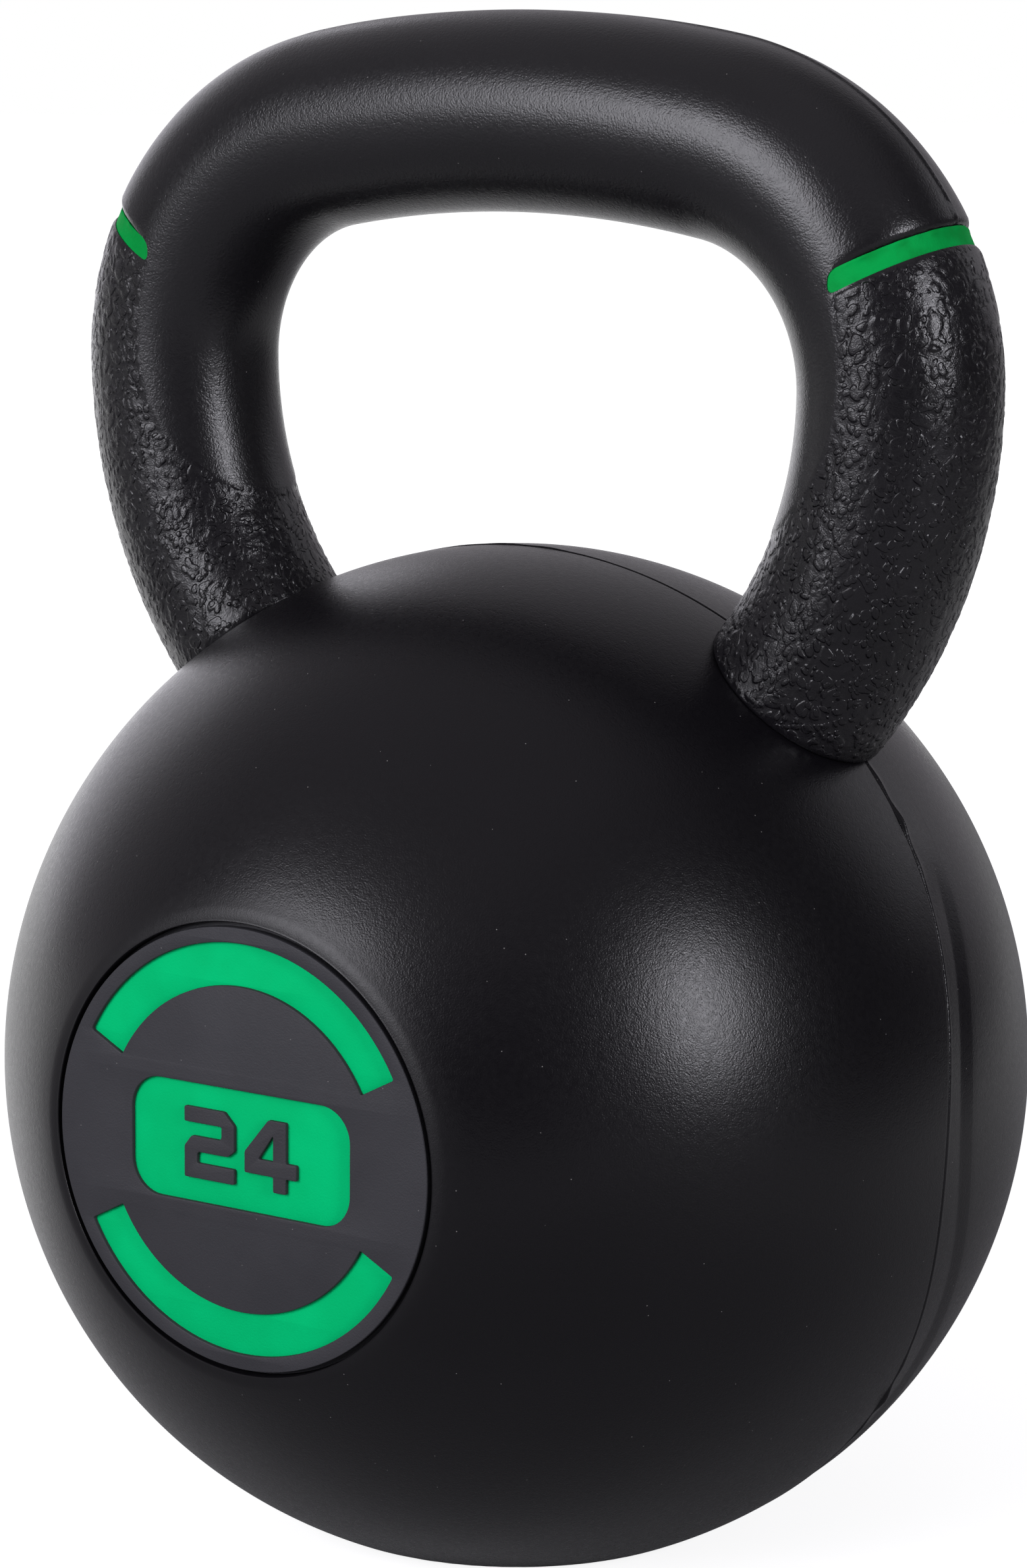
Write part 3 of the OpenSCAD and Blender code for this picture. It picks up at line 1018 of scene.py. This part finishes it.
def makeCoat():
    look = coatLook
    r, half = ballRadius, look["stripWidth"] / 2
    phi = np.arange(look["around"]) * 360 / look["around"]
    one = np.ones_like(phi)
    seam, strip = (math.pi / 2 + np.arcsin(lineBehind(line, phi) / r) for line in (seamLook, stripLook))
    near, run = look["seamRings"], look["seamRun"] / r  # rings beside the parting line
    # Front half: pocket, rim, fine rings over the soft shoulder, then on to the parting line
    floorY = -(faceDepth - look["pocketDepth"])
    rim, bevel = look["pocketRadius"], look["rimBevel"]
    rings = [ringAt(radius, floorY, phi) for radius in (15, 30, 37, rim - 0.1, rim)]
    rings += [ringAt(rim, y, phi) for y in (floorY - 0.2, floorY - 1.5, -faceDepth + bevel + 0.1)]
    for s, c in ((0, 1), (0.25, 0.45), (0.6, 0.12)):
        rings.append(ringAt(rim + bevel * s, -faceDepth + bevel * c, phi))
    fine = np.arange(math.atan2(rim + bevel, faceDepth), math.radians(look["fineTo"]), look["fineStep"] / r)
    middle = math.radians(look["frontMiddle"])
    regular = np.linspace(fine[-1], middle, int((middle - fine[-1]) * r / look["step"]))[1:]
    rings += [outerRing(t * one, phi) for t in np.r_[fine, regular]]
    shares = np.linspace(0, 1, int((math.pi / 2 - middle) * r / look["step"]))[1:-1]
    rings += [outerRing(middle + (seam - run - middle) * s, phi) for s in shares]
    rings += [outerRing(seam - d / r, phi) for d in near]
    inner = math.radians(look["innerFrom"])
    rings += [innerRing(seam + (inner - seam) * s, phi) for s in np.linspace(0, 1, 16)]
    backY = floorY + look["floorThick"]
    rings += [ringAt(radius, backY, phi) for radius in (30, 15)]
    front = lathe("coatFront", (0, floorY, ballCentreZ), rings, (0, backY, ballCentreZ), "ballRubber")
    # Rear half, from its inner pole out to the parting line, over the strip and to the back
    back, end = math.radians(look["rearMiddle"]), math.radians(look["rearEnd"])
    rings = [innerRing(math.pi - (math.pi - seam) * s, phi) for s in np.linspace(0.05, 1, 16)]
    rings += [outerRing(seam + d / r, phi) for d in near[::-1]]
    toStrip = (strip - half / r) - (seam + run)
    rings += [outerRing(seam + run + toStrip * s, phi) for s in np.linspace(0, 1, 7)[:-1]]
    side = look["stripSide"]
    edges = (-half - side, -half + side, -half / 2, 0, half / 2, half - side, half + side)
    rings += [outerRing(strip + d / r, phi) for d in edges]
    # The mesh folds back on itself by 0.48 mm here, because the strip's last ring lies past stripAfter
    after = strip + look["stripAfter"] / r
    steps = int((back - math.pi / 2) * r / look["step"])
    rings += [outerRing(after + (back - after) * s, phi) for s in np.linspace(0, 1, steps)]
    steps = int((end - back) * r / look["step"])
    rings += [outerRing(t * one, phi) for t in np.linspace(back, end, steps)[1:]]
    innerPole = (0, r - look["thick"], ballCentreZ)
    rear = lathe("coatRear", innerPole, rings, (0, r, ballCentreZ), "ballRubber")
    for piece, node in ((front, "coat_front"), (rear, "coat_rear")):
        seat(piece, "ball_rubber", node)
        print(piece.name, len(piece.data.polygons), "faces")


makeCoat()

# Number disc, its inlays and its digits
discLook = {
    "radius": 38.65, "thick": 3.0, "edge": 0.16, "around": 192,
    "flange": 39.4, "flangeDepth": 2.1, "flangeEdge": 0.05,
    "inlayDepth": 0.75, "inlayThick": 0.9, "inlayEdge": 0.02,
    "ringOuter": 36, "ringWidth": 7.5, "ringSpan": 124, "ringCorner": 0.5,
    "panel": (46, 21), "panelCorner": 6,
}
digitLook = {
    "height": 12.5, "width": 10.6, "stroke": 2.7, "bevel": 2.2, "gap": 2.2, "edge": 0.12, "corner": 0.35,
    "sunk": 0.05,
}


def circleLine(radius, count):
    t = np.linspace(0, 2 * math.pi, count, endpoint=False)
    return np.stack([radius * np.cos(t), radius * np.sin(t)], -1)


def ringInlayLine(turned):
    look = discLook
    half = math.radians(look["ringSpan"] / 2)
    t = np.linspace(math.pi / 2 + half, math.pi / 2 - half, 80)
    outer = np.stack([np.cos(t), np.sin(t)], -1)
    line = np.concatenate([look["ringOuter"] * outer, (look["ringOuter"] - look["ringWidth"]) * outer[::-1]])
    return roundCorners(-line if turned else line, look["ringCorner"])


def panelLine():
    (w, h), r = discLook["panel"], discLook["panelCorner"]
    t = np.linspace(0, math.pi / 2, 14)
    quarter = np.stack([np.cos(t), np.sin(t)], -1) * r
    turns = [quarter, quarter[:, ::-1] * [-1, 1], -quarter, quarter[:, ::-1] * [1, -1]]
    corners = [(1, 1), (-1, 1), (-1, -1), (1, -1)]
    return np.concatenate([q + [x * (w / 2 - r), y * (h / 2 - r)] for q, (x, y) in zip(turns, corners)])


def roundCorners(line, radius):
    # Replaces each corner that turns by more than 30 degrees by a small arc
    made = []
    for before, here, after in zip(np.roll(line, 1, axis=0), line, np.roll(line, -1, axis=0)):
        a, b = before - here, after - here
        la, lb = np.linalg.norm(a), np.linalg.norm(b)
        if la < 1e-9 or lb < 1e-9:
            continue
        a, b = a / la, b / lb
        if a @ b < -math.cos(math.radians(30)):
            made.append([here])
        else:
            back = min(radius, la * 0.45, lb * 0.45)
            made.append(arcBetween(here + a * back, here, here + b * back, 5))
    return np.concatenate(made)


def plate(name, outlines, frontY, backY, edge, finish):
    # A flat plate on the front of the ball, with rounded edges on its outline and round its holes
    curve = bpy.data.curves.new(name, "CURVE")
    curve.dimensions = "2D"
    curve.fill_mode = "BOTH"
    curve.extrude = max((backY - frontY) / 2 - edge, 0.001) * mm
    curve.bevel_depth = edge * mm
    curve.bevel_resolution = 2
    curve.offset = -edge * mm
    for line in outlines:
        spline = curve.splines.new("POLY")
        spline.points.add(len(line) - 1)
        spline.points.foreach_set("co", np.c_[line * mm, 0 * line[:, :1], 0 * line[:, :1] + 1].ravel())
        spline.use_cyclic_u = True
    flat = addObject(name, curve)
    graph = bpy.context.evaluated_depsgraph_get()
    mesh = bpy.data.meshes.new_from_object(flat.evaluated_get(graph))
    bpy.data.objects.remove(flat)
    points = np.zeros(len(mesh.vertices) * 3)
    mesh.vertices.foreach_get("co", points)
    x, y, z = points.reshape(-1, 3).T
    placed = np.stack([x, (frontY + backY) / 2 * mm - z, y + ballCentreZ * mm], -1)
    mesh.vertices.foreach_set("co", placed.ravel())
    mesh.materials.clear()
    mesh.materials.append(materials[finish])
    piece = addObject(name, mesh)
    closeSkin(piece, 50, 1e-6)
    return piece


def digitLines():
    # Strokes of a plain squared 2 and 4, each as one outline
    look = digitLook
    w, h, s, bevel = look["width"], look["height"], look["stroke"], look["bevel"]
    m = (h - s) / 2
    two = [(0, h), (w - bevel, h), (w, h - bevel), (w, m + 0.9), (w - 1.4, m - 0.2), (s + 0.3, m - 0.2),
           (s, m - 0.7), (s, s), (w, s), (w, 0), (0, 0), (0, m + 0.6), (1.5, m + s - 0.2),
           (w - s - 0.3, m + s - 0.2), (w - s, m + s + 0.4), (w - s, h - s), (0, h - s)]
    four = [(w - 4.6, h), (w - 1.9, h), (w - 1.9, 2 * s), (w + 0.3, 2 * s), (w + 0.3, s), (w - 1.9, s),
            (w - 1.9, 0), (w - 4.6, 0), (w - 4.6, s), (0, s), (0, 2 * s + 1.0), (w - 5.6, h)]
    hole = [(w - 4.6, 2 * s), (2.9, 2 * s), (w - 4.6, h - 2.6)]
    return np.array(two, float), np.array(four, float), np.array(hole, float)


def makeDisc():
    look, edge = discLook, discLook["edge"]
    face, back = -faceDepth, -faceDepth + look["thick"]
    floor = face + look["inlayDepth"]
    inlayBack = floor + look["inlayThick"]
    upper, lower, panel = ringInlayLine(False), ringInlayLine(True), panelLine()
    outlines = [circleLine(look["radius"], look["around"]), upper, lower, panel]
    disc = plate("discPlate", outlines, face, inlayBack, edge, "discPlastic")
    ring, front = circleLine(look["flange"], look["around"]), face + look["flangeDepth"]
    flange = plate("discFlange", [ring], front, back, look["flangeEdge"], "discPlastic")
    for piece in (disc, flange):
        seat(piece, "disc_black", "disc")
    inlays = {
        "ringInlayUpper": (upper, "ring_inlay_upper"), "ringInlayLower": (lower, "ring_inlay_lower"),
        "numberPanel": (panel, "number_panel"),
    }
    for name, (line, node) in inlays.items():
        inlay = plate(name, [line], floor, inlayBack, look["inlayEdge"], "inlayGreen")
        seat(inlay, "inlay_green", node)
    two, four, hole = digitLines()
    low, aside = -digitLook["height"] / 2, digitLook["gap"] / 2
    left, right = [-digitLook["width"] - aside, low], [aside, low]
    digits = {"digitTwo": [two + left], "digitFour": [four + right, hole + right]}
    for name, lines in digits.items():
        lines = [roundCorners(line, digitLook["corner"]) for line in lines]
        digit = plate(name, lines, face, floor + digitLook["sunk"], digitLook["edge"], "discPlastic")
        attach(digit, "root")
    print("disc, inlays and digits made")


makeDisc()

for name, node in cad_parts.items():
    node.data.materials.clear()
    node.data.materials.append(materials["castIron" if name == "iron_core" else "ballRubber"])

# Floor, lights and world: lengths in metres. The floor is white to the camera, but for the shadow, and
# in what the rubber mirrors of it
stageLook = {
    "radius": 12.0, "corners": 96, "floor": 0.40, "lift": 0.84, "liftRun": (0.35, 1.0), "rightFloor": 0.32,
    "tint": (1.0, 0.955, 1.03, 1.0), "worldLevel": 0.085, "wallLevel": 0.47, "ceilingLevel": 0.40,
    "aim": (0, 0, 0.14), "lampColour": (0.94, 0.93, 1.0),
    "behind": (-0.12, 0.02), "farLeft": (1.2, 1.9), "leftWay": (-0.95, -0.25), "leftRun": (0.0, 0.3),
    "rightWay": (0.9, 0.45), "rightRun": (0.1, 0.45), "rightEnd": (0.6, 0.3),
    "wallWay": (-0.75, 0.66, -0.05), "wallRun": (-0.1, 0.6),
    "ceilingWay": (-0.10, -0.35, 0.93), "ceilingRun": (0.5, 0.95),
}
white = (1.0, 1.0, 1.0, 1.0)


def mirrorRays(rays):
    return rays["Is Glossy Ray"] + rays["Is Transmission Ray"]


def makeFloor():
    look = stageLook
    ring = circleLine(look["radius"], look["corners"])
    mesh = bpy.data.meshes.new("floor")
    mesh.from_pydata([(x, y, 0) for x, y in ring], [], [list(range(len(ring)))])
    material, board = newMaterial("paleFloor")
    rays = board.add("ShaderNodeLightPath")
    place = board.parts(board.add("ShaderNodeTexCoord")["Object"])
    x, y = place[0], place[1]
    # Seen in the rubber, the floor is lit behind the object and to its left, and less to its right
    (leftX, leftY), (rightX, rightY) = look["leftWay"], look["rightWay"]
    behind = y.soften(*look["behind"]).most((-x).soften(*look["farLeft"]))
    left = (x * leftX + y * leftY).soften(*look["leftRun"]) * behind
    right = (x * rightX + y * rightY).soften(*look["rightRun"]) * x.soften(*look["rightEnd"])
    seen = rays["Is Camera Ray"] + mirrorRays(rays) * (left + right * look["rightFloor"])
    away = (x * x + y * y).root().soften(*look["liftRun"])
    strength = seen * (look["lift"] + (1 - look["lift"]) * away)
    grey = (look["floor"],) * 3 + (1.0,)
    diffuse = board.add("ShaderNodeBsdfDiffuse", None, {"Color": grey})["BSDF"]
    glow = board.add("ShaderNodeEmission", None, {"Color": white, "Strength": strength})["Emission"]
    both = board.add("ShaderNodeAddShader", None, {0: diffuse, 1: glow})[0]
    board.add("ShaderNodeOutputMaterial", None, {"Surface": both})
    mesh.materials.append(material)
    addObject("floor", mesh)


def makeWorld():
    look = stageLook
    world = bpy.data.worlds.new("studio")
    bpy.context.scene.world = world
    world.use_nodes = True
    world.node_tree.nodes.clear()
    board = Board(world.node_tree)
    rays = board.add("ShaderNodeLightPath")
    toward = board.add("ShaderNodeTexCoord")["Generated"]
    # A white wall stands behind the object, brightest to the left
    wall = board.vector("DOT_PRODUCT", toward, look["wallWay"])["Value"].soften(*look["wallRun"])
    mirror = mirrorRays(rays) * wall * look["wallLevel"]
    ceiling = board.vector("DOT_PRODUCT", toward, look["ceilingWay"])["Value"]
    ceiling = ceiling.soften(*look["ceilingRun"]) * look["ceilingLevel"]
    level = rays["Is Camera Ray"].most(mirror).most(ceiling + look["worldLevel"])
    colour = board.blend(rays["Is Camera Ray"], look["tint"], white)
    light = board.add("ShaderNodeBackground", None, {"Color": colour, "Strength": level})
    board.add("ShaderNodeOutputWorld", None, {"Surface": light["Background"]})


# Soft boxes: direction from the object, distance and size in metres, and watts
softBoxes = {
    "frontLeft": {"azimuth": -19, "elevation": 19, "distance": 1.5, "size": (0.78, 0.80), "watts": 22},
    "right": {"azimuth": 74, "elevation": 18, "distance": 1.5, "size": (0.22, 0.58), "watts": 12.5},
    "rearLeft": {"azimuth": -120, "elevation": 12, "distance": 2.0, "size": (1.3, 1.3), "watts": 4.5},
    "rearRight": {"azimuth": 150, "elevation": 25, "distance": 2.0, "size": (0.9, 0.9), "watts": 1.7},
}


def makeLights():
    for name, box in softBoxes.items():
        lamp = bpy.data.lights.new(name, "AREA")
        lamp.shape = "RECTANGLE"
        lamp.size, lamp.size_y = box["size"]
        lamp.energy = box["watts"]
        lamp.color = stageLook["lampColour"]
        a, e = math.radians(box["azimuth"]), math.radians(box["elevation"])
        toward = Vector((math.sin(a) * math.cos(e), -math.cos(a) * math.cos(e), math.sin(e)))
        holder = addObject(name, lamp)
        holder.location = Vector(stageLook["aim"]) + toward * box["distance"]
        holder.rotation_euler = toward.to_track_quat("Z", "Y").to_euler()
        holder.visible_camera = False


# Place and aim in metres
cameraLook = {
    "place": (0.41941, -0.64667, 0.27511), "forward": (-0.536767, 0.825103, -0.176313),
    "up": (-0.104639, 0.142255, 0.984283), "lens": 97.31, "sensor": 36.0,
}


def makeCamera():
    look = cameraLook
    data = bpy.data.cameras.new("camera")
    data.sensor_fit = "AUTO"
    data.sensor_width = look["sensor"]
    data.lens = look["lens"]
    camera = addObject("camera", data)
    back = -Vector(look["forward"]).normalized()
    right = Vector(look["up"]).cross(back).normalized()
    up = back.cross(right)
    turn = np.array([right, up, back]).T
    camera.matrix_world = Matrix([[*turn[i], look["place"][i]] for i in range(3)] + [[0, 0, 0, 1]])
    bpy.context.scene.camera = camera


makeFloor()
makeWorld()
makeLights()
makeCamera()
bpy.context.scene.view_settings.view_transform = "Standard"
print("stage, light and camera made")
